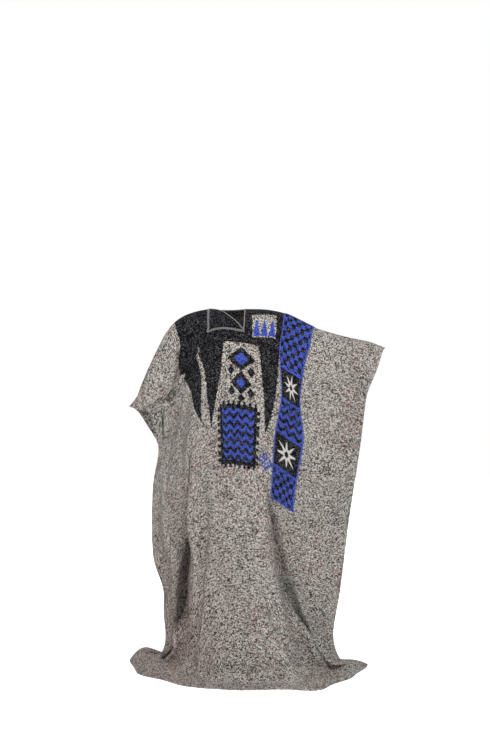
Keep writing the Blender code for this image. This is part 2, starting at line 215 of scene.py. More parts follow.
BACK_CREASES = table(
    CREASE,
    ("over arm", -0.310, 0.14, -0.400, 0.56, 0.020, 0.0050),
    ("sleeve", -0.500, 0.12, -0.530, 0.48, 0.020, 0.0040),
    ("left blade", -0.120, 0.16, -0.235, 0.44, 0.026, 0.0040),
    ("right blade", 0.110, 0.18, 0.250, 0.48, 0.024, 0.0045),
    ("left long", -0.110, 0.60, -0.140, 1.24, 0.024, 0.0055),
    ("middle long", 0.060, 0.70, 0.065, 1.34, 0.024, 0.0050),
    ("left low", -0.310, 0.86, -0.350, 1.36, 0.022, 0.0060),
    ("right long", 0.245, 0.66, 0.300, 1.20, 0.022, -0.0045),
    ("right low", 0.400, 0.94, 0.460, 1.44, 0.024, 0.0060),
    ("right side", 0.560, 0.50, 0.580, 1.18, 0.020, 0.0045),
    ("floor left", -0.230, 1.40, -0.080, 1.46, 0.018, 0.0060),
    ("floor right", 0.160, 1.50, 0.330, 1.46, 0.016, 0.0050),
)

# Sharp creases that run through points (s, v); one side is steep: 1 the one to +X, -1 the other
PLEAT = "name line width depth steep"
FRONT_PLEATS = table(
    PLEAT,
    ("left", (
        (-0.245, 0.32), (-0.235, 0.47), (-0.272, 0.54), (-0.345, 0.61), (-0.392, 0.70),
        (-0.425, 0.74), (-0.475, 0.77), (-0.522, 0.80), (-0.56, 0.83), (-0.58, 0.86),
        (-0.582, 0.90), (-0.57, 0.98),
    ), 0.024, 0.064, 1),
    ("right", (
        (0.203, 0.43), (0.21, 0.51), (0.23, 0.57), (0.265, 0.64), (0.305, 0.713), (0.375, 0.773),
        (0.45, 0.815), (0.51, 0.87), (0.512, 0.96),
    ), 0.026, 0.044, -1),
    ("right outer", (
        (0.30, 0.53), (0.355, 0.60), (0.44, 0.72), (0.51, 0.777), (0.585, 0.84),
    ), 0.024, 0.012, -1),
    ("right side", ((0.38, 0.46), (0.40, 0.56), (0.45, 0.66), (0.52, 0.75)), 0.022, 0.006, -1),
    ("right low", (
        (0.145, 0.70), (0.185, 0.80), (0.24, 0.857), (0.31, 0.893), (0.40, 0.92),
    ), 0.022, 0.012, -1),
    ("left middle", (
        (-0.16, 0.40), (-0.145, 0.50), (-0.19, 0.64), (-0.235, 0.74), (-0.33, 0.84),
        (-0.44, 0.91),
    ), 0.024, 0.011, 1),
    ("left upper", ((-0.19, 0.33), (-0.205, 0.44), (-0.225, 0.54)), 0.016, 0.007, 1),
    ("middle left", ((-0.065, 0.62), (-0.07, 0.80), (-0.095, 0.94)), 0.022, 0.006, 1),
    ("middle right", ((0.05, 0.72), (0.055, 0.88), (0.085, 0.96)), 0.022, 0.005, -1),
    ("armpit", (
        (-0.265, 0.045), (-0.34, 0.08), (-0.40, 0.089), (-0.462, 0.099), (-0.50, 0.128),
        (-0.54, 0.17),
    ), 0.02, 0.042, 1),
)
BACK_PLEATS = table(
    PLEAT,
    ("left", ((-0.19, 0.34), (-0.215, 0.50), (-0.235, 0.70), (-0.27, 0.92)), 0.024, 0.026, 1),
    ("middle", ((-0.02, 0.46), (-0.03, 0.64), (-0.045, 0.92)), 0.022, 0.018, -1),
    ("right", ((0.15, 0.38), (0.172, 0.56), (0.19, 0.74), (0.23, 0.94)), 0.024, 0.024, -1),
    ("right outer", ((0.33, 0.54), (0.372, 0.72), (0.43, 0.93)), 0.022, 0.014, -1),
)

OVERHANG = 0.60  # reach of a pleat's lip, as a share of the pleat's depth
PLEAT_WAY = (0.5, 1.5, 1.0)  # turns the pleats of a side wall towards the front and back

# Edges of the shoulder strip down the cloth, where its folds draw it in and out
STRIP_ROWS = table(
    "t left right",
    (0.008, 0.212, 0.340),
    (0.170, 0.220, 0.341),
    (0.260, 0.238, 0.339),
    (0.330, 0.246, 0.345),
    (0.420, 0.234, 0.370),
    (0.480, 0.226, 0.374),
    (0.600, 0.226, 0.363),
    (0.722, 0.230, 0.355),
)
STRIP_WIDTH = 0.130

FRONT, BACK = -1, 1
STEPS = 248  # cloth points across each half
DOWN = 500  # cloth points from the shoulder line to the hem
BLOCKS = ((-HALF_SPAN, NECK_LEFT, 148), (NECK_LEFT, NECK_RIGHT, 30), (NECK_RIGHT, HALF_SPAN, 148))
NECK_ROWS, BODY_ROWS, HEM_ROWS, HEM_START = 14, 61, 72, 0.68  # rows of a panel's faces
UV_SHIFT = 0.65  # keeps the cloth's own coordinates above nought


def smooth(low, high, x):
    """0 below low, 1 above high, and an eased rise between."""
    q = np.clip((x - low) / (high - low), 0.0, 1.0)
    return q * q * (3 - 2 * q)


def mix(a, b, share):
    return a + (b - a) * share


def along(rows, key, column, x):
    """A column of a table read at x, on a smooth curve through its rows."""
    spot = np.array([getattr(row, key) for row in rows], float)
    value = np.array([getattr(row, column) for row in rows], float)
    last = len(rows) - 1
    x = np.clip(x, spot[0], spot[last])
    i = np.clip(np.searchsorted(spot, x, side="left") - 1, 0, last - 1)
    low = np.maximum(np.arange(last + 1) - 1, 0)
    high = np.minimum(np.arange(last + 1) + 1, last)
    slope = (value[high] - value[low]) / (spot[high] - spot[low])
    span = spot[i + 1] - spot[i]
    u = (x - spot[i]) / span
    start = (1 + 2 * u) * (1 - u) ** 2 * value[i] + u * (1 - u) ** 2 * span * slope[i]
    end = u * u * (3 - 2 * u) * value[i + 1] + u * u * (u - 1) * span * slope[i + 1]
    return start + end


def unit(a):
    """Vectors made one long."""
    return a / np.linalg.norm(a, axis=-1, keepdims=True)


def pick(s, left, right):
    return np.where(s < 0, left, right)


def column_shape(side, s):
    """Fall from the shoulder line, roll radius and the landing's radius, run and lip."""
    fall = along(RIDGE, "s", "z", s) - FLOOR - CLOTH / 2
    chest = ROLL_FRONT if side == FRONT else ROLL_BACK
    roll = mix(ROLL_ARM, chest, np.exp(-((s / ROLL_REACH) ** 2)))
    q = np.abs(s) / HALF_SPAN
    middle = LAND_FRONT if side == FRONT else LAND_BACK
    share = pick(s, q**LAND_LEFT.power, q**LAND_RIGHT.power)
    edge = [pick(s, a, b) for a, b in zip(LAND_LEFT[:3], LAND_RIGHT[:3])]
    radius, run, lip = (mix(a, b, share) for a, b in zip(middle[:3], edge))
    return fall, roll, radius, run, lip


def column_length(side, s):
    """Length of the cloth from the shoulder line to the hem."""
    fall, roll, radius, run, _ = column_shape(side, s)
    return fall + (math.pi / 2 - 1) * (roll + radius) + run


def column_point(side, s, t):
    """Drop below the shoulder line, share of the roll done, and reach out on landing."""
    fall, roll, radius, run, lip = column_shape(side, s)
    t_hang = roll * math.pi / 2
    t_land = t_hang + fall - roll - radius
    turn = np.clip((t - t_land) / radius, 0, math.pi / 2)
    lying = np.maximum(0.0, t - t_land - turn * radius)
    arc_left = radius * math.pi / 4
    share = np.maximum(0.0, (t - t_land - arc_left) / (arc_left + run))
    landed = fall - radius * (1 - np.sin(turn)) - lip * np.sin(math.pi * share)
    rolling = np.minimum(t, t_hang) / roll
    drop = np.where(t <= t_hang, roll * (1 - np.cos(rolling)), roll + t - t_hang)
    drop = np.where(t > t_land, landed, drop)
    reach = np.where(t > t_land, radius * (1 - np.cos(turn)) + lying, 0.0)
    return drop, np.sin(rolling), reach


def spread(side, s):
    """Direction in plan in which the hem spreads on the floor."""
    if side == FRONT:
        middle, left = SPREAD_FRONT, SPREAD_LEFT - 360
    else:
        middle, left = SPREAD_BACK, SPREAD_LEFT
    edge = pick(s, left, SPREAD_RIGHT)
    share = np.maximum(0.0, np.abs(s) / HALF_SPAN - 0.28) / 0.72
    angle = np.radians(mix(middle, edge, share))
    return np.cos(angle), np.sin(angle)


def fold_depth(side, s, v):
    total = np.zeros(np.broadcast(s, v).shape)
    for fold in FRONT_FOLDS if side == FRONT else BACK_FOLDS:
        away = np.abs(s - mix(fold.s_top, fold.s_hem, v**fold.sweep)) / fold.width
        depth = fold.depth * smooth(fold.v_start, fold.v_full, v)
        depth = mix(depth, fold.depth_hem, smooth(fold.v_full, 1.0, v))
        seen = (away < 2.4) & (v > fold.v_start)
        total += np.where(seen, depth * np.exp(-1.6 * away * away), 0.0)
    return total


def sheet_y(side, s, v, rolled, roll):
    """y of a panel before it spreads on the floor; folds stop short of the side seam's plane."""
    q = np.abs(s) / HALF_SPAN
    ridge_y = along(RIDGE, "s", "y", s) + side * SEAM_GAP / 2
    edge_y = pick(s, along(SECTIONS, "v", "y_left", v), along(SECTIONS, "v", "y_right", v))
    middle_y = along(SECTIONS, "v", "y_front" if side == FRONT else "y_back", v)
    depth = side * (middle_y - edge_y) * (1 - q**1.9)
    room = FOLD_ROOM * depth + 1e-4
    fold = fold_depth(side, s, v)
    held = room * (1 - np.exp(-np.maximum(fold, 0.0) / room))
    depth = depth - np.where(fold < 0, fold, held)
    closed = (CLOTH + SEAM_GAP) / 2 + HEM_EASE * smooth(0.55, 0.74, v)
    hung = edge_y + side * (depth + closed * smooth(0.8, 1.0, q))
    hung = mix(ridge_y + side * roll, hung, smooth(0.06, 0.26, v))
    body = mix(ridge_y, hung, rolled)
    share = pick(s, CUFF_LEFT.share, CUFF_RIGHT.share)
    half = pick(s, CUFF_LEFT.half, CUFF_RIGHT.half)
    open_cuff = half * np.sin(math.pi * np.minimum(1.0, v / share))
    closed = np.where(v > share / 2, closed, SEAM_GAP / 2)
    near_cuff = smooth(0.84, 1.0, q) * (1 - smooth(share, 0.26, v))
    return mix(body, edge_y + side * np.maximum(closed, open_cuff), near_cuff)


def cuff_lift(side, s, v):
    """How far the front of a sleeve edge is lifted."""
    share = pick(s, CUFF_LEFT.share, CUFF_RIGHT.share)
    lift = pick(s, CUFF_LEFT.lift, CUFF_RIGHT.lift)
    u = np.minimum(v / share, 1.0)
    if side == BACK:
        return np.zeros(u.shape)
    return lift * u * u * (1 - u**6) * smooth(0.70, 1.0, np.abs(s) / HALF_SPAN)


def crease_height(creases, s, t):
    """How far the small creases move the cloth outwards."""
    height = np.zeros(s.shape)
    for crease in creases:
        run_s, run_t = crease.s_end - crease.s_top, crease.t_end - crease.t_top
        length = math.hypot(run_s, run_t)
        share = ((s - crease.s_top) * run_s + (t - crease.t_top) * run_t) / length**2
        away = ((s - crease.s_top) * run_t - (t - crease.t_top) * run_s) / length
        away = away + 0.006 * np.sin(share * 5.0 + length * 30)
        ends = smooth(-0.10, 0.35, share) * (1 - smooth(0.60, 1.08, share))
        height -= crease.depth * ends * np.exp(-((away / crease.width) ** 2))
    return height


def pleat_moves(pleats, gone, v, length):
    """How far the sharp creases move the cloth outwards, and across so that a lip overhangs each.

    gone is each point's distance along its row of the cloth, from the middle.
    """
    height, across = np.zeros(gone.shape), np.zeros(gone.shape)
    s = np.linspace(-HALF_SPAN, HALF_SPAN, gone.shape[1])
    for pleat in pleats:
        spots = np.array(pleat.line)
        first, last = spots[0, 1], spots[-1, 1]
        way = np.interp(v[:, 0], spots[:, 1], spots[:, 0])
        way = np.array([np.interp(x, s, row) for x, row in zip(way, gone)])[:, None]
        lean = np.gradient(way[:, 0])[:, None] / np.gradient(v[:, 0])[:, None] / length
        away = (gone - way) * pleat.steep / np.hypot(1.0, lean)
        wide = np.where(away > 0, 0.55, 1.30) * pleat.width
        ends = smooth(first, mix(first, last, 0.24), v)
        ends = ends * (1 - smooth(mix(first, last, 0.90), last, v))
        height -= pleat.depth * ends * np.exp(-((away / wide) ** 2))
        lip = np.maximum(away, 0.0) / (0.8 * pleat.width)
        across -= pleat.steep * OVERHANG * pleat.depth * ends * lip * np.exp(1 - lip)
    return height, across


def uneven(s, t):
    """The cloth's slight waves, in metres outwards."""
    wave = 0.0011 * np.sin(s * 31 + 1.7 * np.sin(t * 7.0)) * np.sin(t * 9.0 + s * 5.0 + 0.6)
    return wave + 0.0005 * np.sin(s * 83 + t * 21) * np.sin(t * 57 - s * 13)


def outwards(place, side):
    over = np.gradient(place, axis=1)
    down = np.gradient(place, axis=0)
    return unit(np.cross(over, down) * side)


def row_lengths(place):
    """Distance of each point from the middle of its row, along the cloth, negative to the left."""
    steps = np.linalg.norm(np.diff(place, axis=1), axis=2)
    gone = np.concatenate([np.zeros((len(place), 1)), np.cumsum(steps, axis=1)], axis=1)
    return gone - gone[:, STEPS : STEPS + 1]


class Drape:
    """The middle of one panel's cloth as it hangs."""

    def __init__(self, side, crease_share):
        s = np.linspace(-HALF_SPAN, HALF_SPAN, 2 * STEPS + 1)[None, :]
        v = np.linspace(0.0, 1.0, DOWN + 1)[:, None]
        t = v * column_length(side, s)
        drop, rolled, reach = column_point(side, s, t)
        roll = column_shape(side, s)[1]
        y = sheet_y(side, s, v, rolled, roll)
        z = along(RIDGE, "s", "z", s) - drop + cuff_lift(side, s, v)
        x = np.zeros(y.shape)
        for half in (-1, 1):
            self.set_across(x, y, z, v[:, 0], half)
        turn_x, turn_y = spread(side, s)
        place = np.stack([x + turn_x * reach, y + turn_y * reach, z], axis=2)
        out = outwards(place, side)
        creases = FRONT_CREASES if side == FRONT else BACK_CREASES
        q = np.abs(s) / HALF_SPAN
        free = smooth(0.0, 0.08, v) * (1 - q**10) * (1 - 0.7 * smooth(0.97, 1.0, v))
        height = crease_height(creases, s + 0 * v, t) + uneven(s + 0 * v, t)
        pleats = FRONT_PLEATS if side == FRONT else BACK_PLEATS
        deep, across = pleat_moves(pleats, row_lengths(place), v, column_length(side, s))
        near = (1 - q**20) * crease_share
        toward = unit(out * np.array(PLEAT_WAY))
        over = unit(np.gradient(place, axis=1))
        place = place + out * (height * free * crease_share)[:, :, None]
        place += toward * (deep * near)[:, :, None]
        place += over * (across * near)[:, :, None]
        place[:, :, 2] = np.maximum(place[:, :, 2], FLOOR + CLOTH / 2)
        self.place, self.out = place, outwards(place, side)
        self.gone = row_lengths(place)[:, :, None]

    def set_across(self, x, y, z, v, half):
        """Sets x of half of every row, by how far the cloth gets across as it waves."""
        across = HALF_SPAN / STEPS
        order = np.arange(STEPS, 2 * STEPS + 1) if half > 0 else np.arange(STEPS, -1, -1)
        used = np.diff(y[:, order], axis=1) ** 2 + np.diff(z[:, order], axis=1) ** 2
        step = np.sqrt(np.maximum(0.06 * across**2, across**2 - used))
        gone = np.concatenate([np.zeros((len(v), 1)), np.cumsum(step, axis=1)], axis=1)
        share = gone / gone[:, -1:]
        middle = along(SECTIONS, "v", "x_mid", v)[:, None]
        edge = along(SECTIONS, "v", "x_right" if half > 0 else "x_left", v)[:, None]
        lean = along(SECTIONS, "v", "lean", v)[:, None] if half > 0 else 0.0
        x[:, order] = mix(middle, edge, share - lean * share * (1 - share))

    def read(self, grid, s, v):
        """A grid of the cloth's values, read between its points."""
        s, v = np.broadcast_arrays(np.asarray(s, float), np.asarray(v, float))
        a = np.clip((s / HALF_SPAN + 1) * STEPS, 0, 2 * STEPS - 1e-6)
        b = np.clip(v * DOWN, 0, DOWN - 1e-6)
        i, j = b.astype(int), a.astype(int)
        fb, fa = (b - i)[..., None], (a - j)[..., None]
        upper = mix(grid[i, j], grid[i, j + 1], fa)
        lower = mix(grid[i + 1, j], grid[i + 1, j + 1], fa)
        return mix(upper, lower, fb)

    def facing(self, s, v):
        return unit(self.read(self.out, s, v))

    def at(self, s, v, off=0.0):
        """Points of the cloth, off metres outwards of its middle."""
        return self.read(self.place, s, v) + self.facing(s, v) * np.asarray(off)[..., None]


DRAPES = {}


def drape(side):
    if side not in DRAPES:
        DRAPES[side] = Drape(side, bpy.context.scene.robe_sizes.crease)
    return DRAPES[side]


def neck_top(side, s):
    """Where the cloth starts below the shoulder line, across the neck opening."""
    u = np.clip((s - NECK_LEFT) / (NECK_RIGHT - NECK_LEFT), 0, 1)
    if side == FRONT:
        return NECK_SHARE * u
    return BACK_NECK_SHARE * np.sqrt(np.maximum(0.0, 1 - (2 * u - 1) ** 2))


# Mesh making


def new_piece(name, points, faces, **maps):
    """An object at the origin from points and faces, with UV maps of its places on the cloth."""
    mesh = bpy.data.meshes.new(name)
    mesh.from_pydata([tuple(p) for p in points], [], faces)
    spots = np.zeros(len(mesh.loops), int)
    mesh.loops.foreach_get("vertex_index", spots)
    for uv_name, places in maps.items():
        layer = mesh.uv_layers.new(name=uv_name)
        layer.data.foreach_set("uv", np.asarray(places, float)[spots].ravel())
    mesh.polygons.foreach_set("use_smooth", np.ones(len(mesh.polygons), bool))
    piece = bpy.data.objects.new(name, mesh)
    bpy.context.scene.collection.objects.link(piece)
    return piece


def grid_faces(rows, columns, start=0):
    spot = np.arange(rows * columns).reshape(rows, columns) + start
    faces = np.stack([spot[:-1, :-1], spot[:-1, 1:], spot[1:, 1:], spot[1:, :-1]], axis=2)
    return faces.reshape(-1, 4)


def only(piece):
    """Deselects all but one piece and makes it the active one."""
    for other in bpy.context.view_layer.objects:
        other.select_set(False)
    piece.select_set(True)
    bpy.context.view_layer.objects.active = piece


def weld(piece, flip):
    """Joins the points that lie together and turns the faces to the outside."""
    work = bmesh.new()
    work.from_mesh(piece.data)
    bmesh.ops.remove_doubles(work, verts=work.verts, dist=1e-5)
    if flip:
        bmesh.ops.reverse_faces(work, faces=work.faces)
    work.to_mesh(piece.data)
    work.free()


def thicken(piece, thickness, inside=0):
    only(piece)
    wall = piece.modifiers.new("wall", "SOLIDIFY")
    wall.thickness, wall.offset, wall.use_rim = thickness, 0.0, True
    wall.use_even_offset = False
    wall.material_offset = inside
    bpy.ops.object.modifier_apply(modifier=wall.name)


def dress(piece, slot, *materials):
    for material in materials:
        piece.data.materials.append(material)
    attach(piece, "root")


def panel_points(side):
    """Points, two UV maps and faces of one panel, in three blocks beside and at the neck."""
    points, places, woven, faces, count = [], [], [], [], 0
    body = np.linspace(NECK_SHARE, HEM_START, BODY_ROWS + 1)
    below = np.concatenate([body, np.linspace(HEM_START, 1.0, HEM_ROWS + 1)[1:]])
    for low, high, number in BLOCKS:
        s = np.linspace(low, high, number + 1)[None, :]
        top = neck_top(side, s) if low == NECK_LEFT else np.zeros(s.shape)
        upper = mix(top, NECK_SHARE, np.linspace(0, 1, NECK_ROWS + 1)[:-1, None])
        v = np.concatenate([upper, below[:, None] + 0 * s])
        s = s + 0 * v
        points.append(drape(side).at(s, v).reshape(-1, 3))
        t = v * column_length(side, s)
        places.append(np.stack([s + UV_SHIFT, t], axis=2).reshape(-1, 2))
        gone = drape(side).read(drape(side).gone, s, v)[:, :, 0]
        woven.append(np.stack([gone + UV_SHIFT, t], axis=2).reshape(-1, 2))
        faces.append(grid_faces(*v.shape, start=count))
        count += v.size
    maps = {"cloth": np.concatenate(places), "weave": np.concatenate(woven)}
    return np.concatenate(points), np.concatenate(faces).tolist(), maps


def headings(path, closed):
    """Directions along a path, one for each of its points."""
    if closed:
        return unit(np.roll(path, -1, axis=0) - np.roll(path, 1, axis=0))
    return unit(np.gradient(path, axis=0))


def tube(path, up, radius, sides, closed=False):
    """Points and faces of a round tube along a path."""
    run = headings(path, closed)
    side_way = unit(np.cross(run, up))
    top = np.cross(side_way, run)
    angle = np.arange(sides) * 2 * math.pi / sides
    ring = np.cos(angle)[:, None] * side_way[:, None] + np.sin(angle)[:, None] * top[:, None]
    points = path[:, None] + ring * np.broadcast_to(radius, (len(path),))[:, None, None]
    count = len(path)
    faces = []
    for i in range(count if closed else count - 1):
        a, b = i * sides, (i + 1) % count * sides
        faces += [[a + k, a + (k + 1) % sides, b + (k + 1) % sides, b + k] for k in range(sides)]
    if not closed:
        faces += [list(range(sides))[::-1], [(count - 1) * sides + k for k in range(sides)]]
    return points.reshape(-1, 3), faces


def joined(parts):
    """Several (points, faces) as one."""
    points, faces, count = [], [], 0
    for some, rings in parts:
        points.append(some)
        faces += [[count + i for i in ring] for ring in rings]
        count += len(some)
    return np.concatenate(points), faces


def evenly(path, up, gap, closed=False):
    """The path and its up directions again, at even distances along it."""
    if closed:
        path, up = np.vstack([path, path[:1]]), np.vstack([up, up[:1]])
    gone = np.concatenate([[0], np.cumsum(np.linalg.norm(np.diff(path, axis=0), axis=1))])
    count = max(2, round(gone[-1] / gap))
    at = np.linspace(0, gone[-1], count + 1)
    if closed:
        at = at[:-1]
    path = np.stack([np.interp(at, gone, path[:, k]) for k in range(3)], axis=1)
    up = np.stack([np.interp(at, gone, up[:, k]) for k in range(3)], axis=1)
    return path, unit(up), at


def stitches(path, up, sizes):
    """Small raised stitches, one after the other along a path on the cloth."""
    pitch, long, thick = sizes.stitch_pitch, sizes.stitch_pitch * 0.62, sizes.thread
    spots, ups, _ = evenly(path, up, pitch)
    parts = []
    bow = np.linspace(0, 1, 6)
    for a, b, n in zip(spots, spots[1:], ups):
        run = unit(b - a)
        line = a + run * (bow * long)[:, None]
        line = line + n * ((np.sin(math.pi * bow) * 1.5 - 0.7) * thick)[:, None]
        width = thick * (0.55 + 0.45 * np.sin(math.pi * bow))
        parts.append(tube(line, np.tile(n, (6, 1)), width, 6))
    return joined(parts)


def chain(path, up, sizes):
    """A line of chain stitch: loops that each start in the last one."""
    pitch, thick = sizes.chain_pitch, sizes.thread * 1.15
    spots, ups, _ = evenly(path, up, pitch)
    parts = []
    q = np.linspace(0, 2 * math.pi, 13)[:-1]
    ahead = (0.5 - 0.5 * np.cos(q)) * 1.30
    wide = np.sin(q) * np.sqrt(np.abs(np.sin(q / 2))) * 0.27
    for a, b, n in zip(spots, spots[1:], ups):
        run = unit(b - a)
        side_way = np.cross(n, run)
        loop = a + run * (ahead * pitch)[:, None] + side_way * (wide * pitch)[:, None]
        loop = loop + n * (thick * (0.5 + 0.45 * np.cos(q)))[:, None]
        parts.append(tube(loop, np.tile(n, (12, 1)), thick, 5, closed=True))
    return joined(parts)


# Node writing


class Field:
    """A number in a node tree; the usual signs add Math nodes."""

    def __init__(self, tree, socket):
        self.tree, self.socket = tree, socket

    def math(self, how, *others):
        node = self.tree.nodes.new("ShaderNodeMath")
        node.operation = how
        for spot, value in enumerate((self, *others)):
            feed(self.tree, node.inputs[spot], value)
        return Field(self.tree, node.outputs[0])

    __add__ = partialmethod(math, "ADD")
    __sub__ = partialmethod(math, "SUBTRACT")
    __mul__ = partialmethod(math, "MULTIPLY")
    __truediv__ = partialmethod(math, "DIVIDE")
    __lt__ = partialmethod(math, "LESS_THAN")
    __gt__ = partialmethod(math, "GREATER_THAN")
    part = partialmethod(math, "FRACT")
    whole = partialmethod(math, "FLOOR")
    most = partialmethod(math, "MAXIMUM")

    def away(self, other=0.0):
        return (self - other).math("ABSOLUTE")

    def flip(self):
        return self * -1.0 + 1.0

    def ranged(self, low, high, to_low=0.0, to_high=1.0, eased=False):
        node = self.tree.nodes.new("ShaderNodeMapRange")
        node.interpolation_type = "SMOOTHSTEP" if eased else "LINEAR"
        for spot, value in enumerate((self, low, high, to_low, to_high)):
            feed(self.tree, node.inputs[spot], value)
        return Field(self.tree, node.outputs[0])


def feed(tree, socket, value):
    """Links a field or socket to an input, or sets its value."""
    if isinstance(value, Field):
        value = value.socket
    if isinstance(value, bpy.types.NodeSocket):
        tree.links.new(value, socket)
    else:
        socket.default_value = value


def vector(tree, x, y, z=0.0):
    node = tree.nodes.new("ShaderNodeCombineXYZ")
    for spot, value in enumerate((x, y, z)):
        feed(tree, node.inputs[spot], value)
    return node.outputs[0]


def noise(tree, x, y, detail=1.0, shift=0.0):
    node = tree.nodes.new("ShaderNodeTexNoise")
    node.noise_dimensions = "3D"
    feed(tree, node.inputs["Vector"], vector(tree, x, y, shift))
    node.inputs["Scale"].default_value = 1.0
    node.inputs["Detail"].default_value = detail
    return Field(tree, node.outputs["Fac"])


def scatter(tree, x, y):
    node = tree.nodes.new("ShaderNodeTexWhiteNoise")
    node.noise_dimensions = "2D"
    feed(tree, node.inputs["Vector"], vector(tree, x, y))
    return Field(tree, node.outputs["Value"])


def blend(tree, share, first, second, how="MIX"):
    """A colour between two, by share, or the first multiplied by the second."""
    node = tree.nodes.new("ShaderNodeMix")
    node.data_type, node.blend_type = "RGBA", how
    feed(tree, node.inputs[0], share)
    feed(tree, node.inputs[6], first)
    feed(tree, node.inputs[7], second)
    return node.outputs[2]


def begin_group(name, inputs, outputs):
    """A shader node group with named inputs (name, kind, default) and outputs (name, kind)."""
    group = bpy.data.node_groups.new(name, "ShaderNodeTree")
    for label, kind, default in inputs:
        socket = group.interface.new_socket(label, in_out="INPUT", socket_type="NodeSocket" + kind)
        socket.default_value = default
    for label, kind in outputs:
        group.interface.new_socket(label, in_out="OUTPUT", socket_type="NodeSocket" + kind)
    return group, group.nodes.new("NodeGroupInput"), group.nodes.new("NodeGroupOutput")


def givens(group, start, *labels):
    """Inputs of a group as fields."""
    return (Field(group, start.outputs[label]) for label in labels)


def stepped(group, start):
    """Across and down the cloth, in the even steps of a woven figure."""
    across, down, step = givens(group, start, "Across", "Down", "Step")
    return ((across / step).whole() + 0.5) * step, ((down / step).whole() + 0.5) * step


def within(x, low, high):
    return (x > low) * (x < high)


def place_group(tree, group, values):
    node = tree.nodes.new("ShaderNodeGroup")
    node.node_tree = group
    for label, value in values.items():
        feed(tree, node.inputs[label], value)
    return node


def cloth_spot(tree, uv_name="weave"):
    """Across and down the cloth in metres, from one of the piece's own UV maps."""
    node = tree.nodes.new("ShaderNodeUVMap")
    node.uv_map = uv_name
    split = tree.nodes.new("ShaderNodeSeparateXYZ")
    tree.links.new(node.outputs[0], split.inputs[0])
    return Field(tree, split.outputs[0]) - UV_SHIFT, Field(tree, split.outputs[1])


def profile(x, table):
    """A broken line through (x, y) rows."""
    value = None
    for (x0, y0), (x1, y1) in zip(table, table[1:]):
        rise = x.ranged(x0, x1, 0.0, y1 - y0)
        value = rise + y0 if value is None else value + rise
    return value


def tweed_group():
    """Coarse hand-woven cloth of two twisted yarns, with slubs and stray coloured flecks."""
    group, start, end = begin_group(
        "twisted yarn weave",
        [
            ("Across", "Float", 0.0),
            ("Down", "Float", 0.0),
            ("Light Yarn", "Color", (0.5, 0.48, 0.45, 1)),
            ("Dark Yarn", "Color", (0.05, 0.045, 0.04, 1)),
            ("Stray Yarn", "Color", (0.20, 0.03, 0.03, 1)),
            ("Dark Share", "Float", 0.45),
            ("Softness", "Float", 0.16),
            ("Stray Share", "Float", 0.30),
            ("Yarn Pitch", "Float", 0.0034),
        ],
        [("Color", "Color"), ("Height", "Float"), ("Roughness", "Float")],
    )
    across, down, pitch = givens(group, start, "Across", "Down", "Yarn Pitch")
    share, soft, strays = givens(group, start, "Dark Share", "Softness", "Stray Share")
    sway = noise(group, across * 8.0, down * 8.0, 1.0, 5.0)
    u = (across + sway * 0.010) / (pitch * 0.86)
    w = (down + sway * 0.022) / (pitch * 0.74)
    row = w.whole()
    crossing = scatter(group, (u + row * 0.37).whole(), row)
    dash = noise(group, across * 120.0, row * 3.7, 0.0, 1.0)
    patchy = noise(group, across * 22.0, down * 26.0, 1.5, 3.0)
    odd = ((u.whole() + row) * 0.5).part() * 2.0
    stripe = (row * 0.5).part() * 2.0
    value = crossing * 0.52 + dash * 0.26 + stripe * 0.09 + patchy * 0.13
    dark = value.ranged(share - soft, share + soft, 1.0, 0.0, eased=True)
    slub = noise(group, across * 24.0, down / pitch * 0.72, 1.0, 7.0).ranged(0.645, 0.675)
    warp_slub = noise(group, across / pitch * 0.72, down * 24.0, 1.0, 8.0).ranged(0.69, 0.72)
    broken = crossing.ranged(0.15, 0.55, 0.35, 1.0)
    dark = dark.most(slub * 0.95).most(warp_slub * broken * 0.85)
    shade = noise(group, across * 3.2, down * 2.4, 2.0, 9.0)
    stray = noise(group, across * 75.0, down / pitch * 0.50, 0.0, 11.0)
    stray = stray.most(noise(group, across / pitch * 0.50, down * 75.0, 0.0, 12.0))
    where = noise(group, across * 5.0, down * 4.0, 1.0, 13.0)
    stray = stray.ranged(0.70, 0.74) * where.ranged(0.50, 0.58) * strays
    colour = blend(group, dark, start.outputs["Light Yarn"], start.outputs["Dark Yarn"])
    colour = blend(group, stray, colour, start.outputs["Stray Yarn"])
    tone = group.nodes.new("ShaderNodeHueSaturation")
    feed(group, tone.inputs["Color"], colour)
    feed(group, tone.inputs["Value"], shade.ranged(0.25, 0.75, 0.90, 1.10))
    bulge_u = ((u.part() - 0.5) * 2.0).away().math("POWER", 2.0).flip()
    bulge_w = ((w.part() - 0.5) * 2.0).away().math("POWER", 2.0).flip()
    height = bulge_u * odd + bulge_w * odd.flip()
    height = height * 0.7 + crossing * 0.5 + slub * 0.5
    feed(group, end.inputs["Color"], tone.outputs[0])
    feed(group, end.inputs["Height"], height)
    feed(group, end.inputs["Roughness"], crossing.ranged(0.0, 1.0, 0.80, 0.97))
    return group


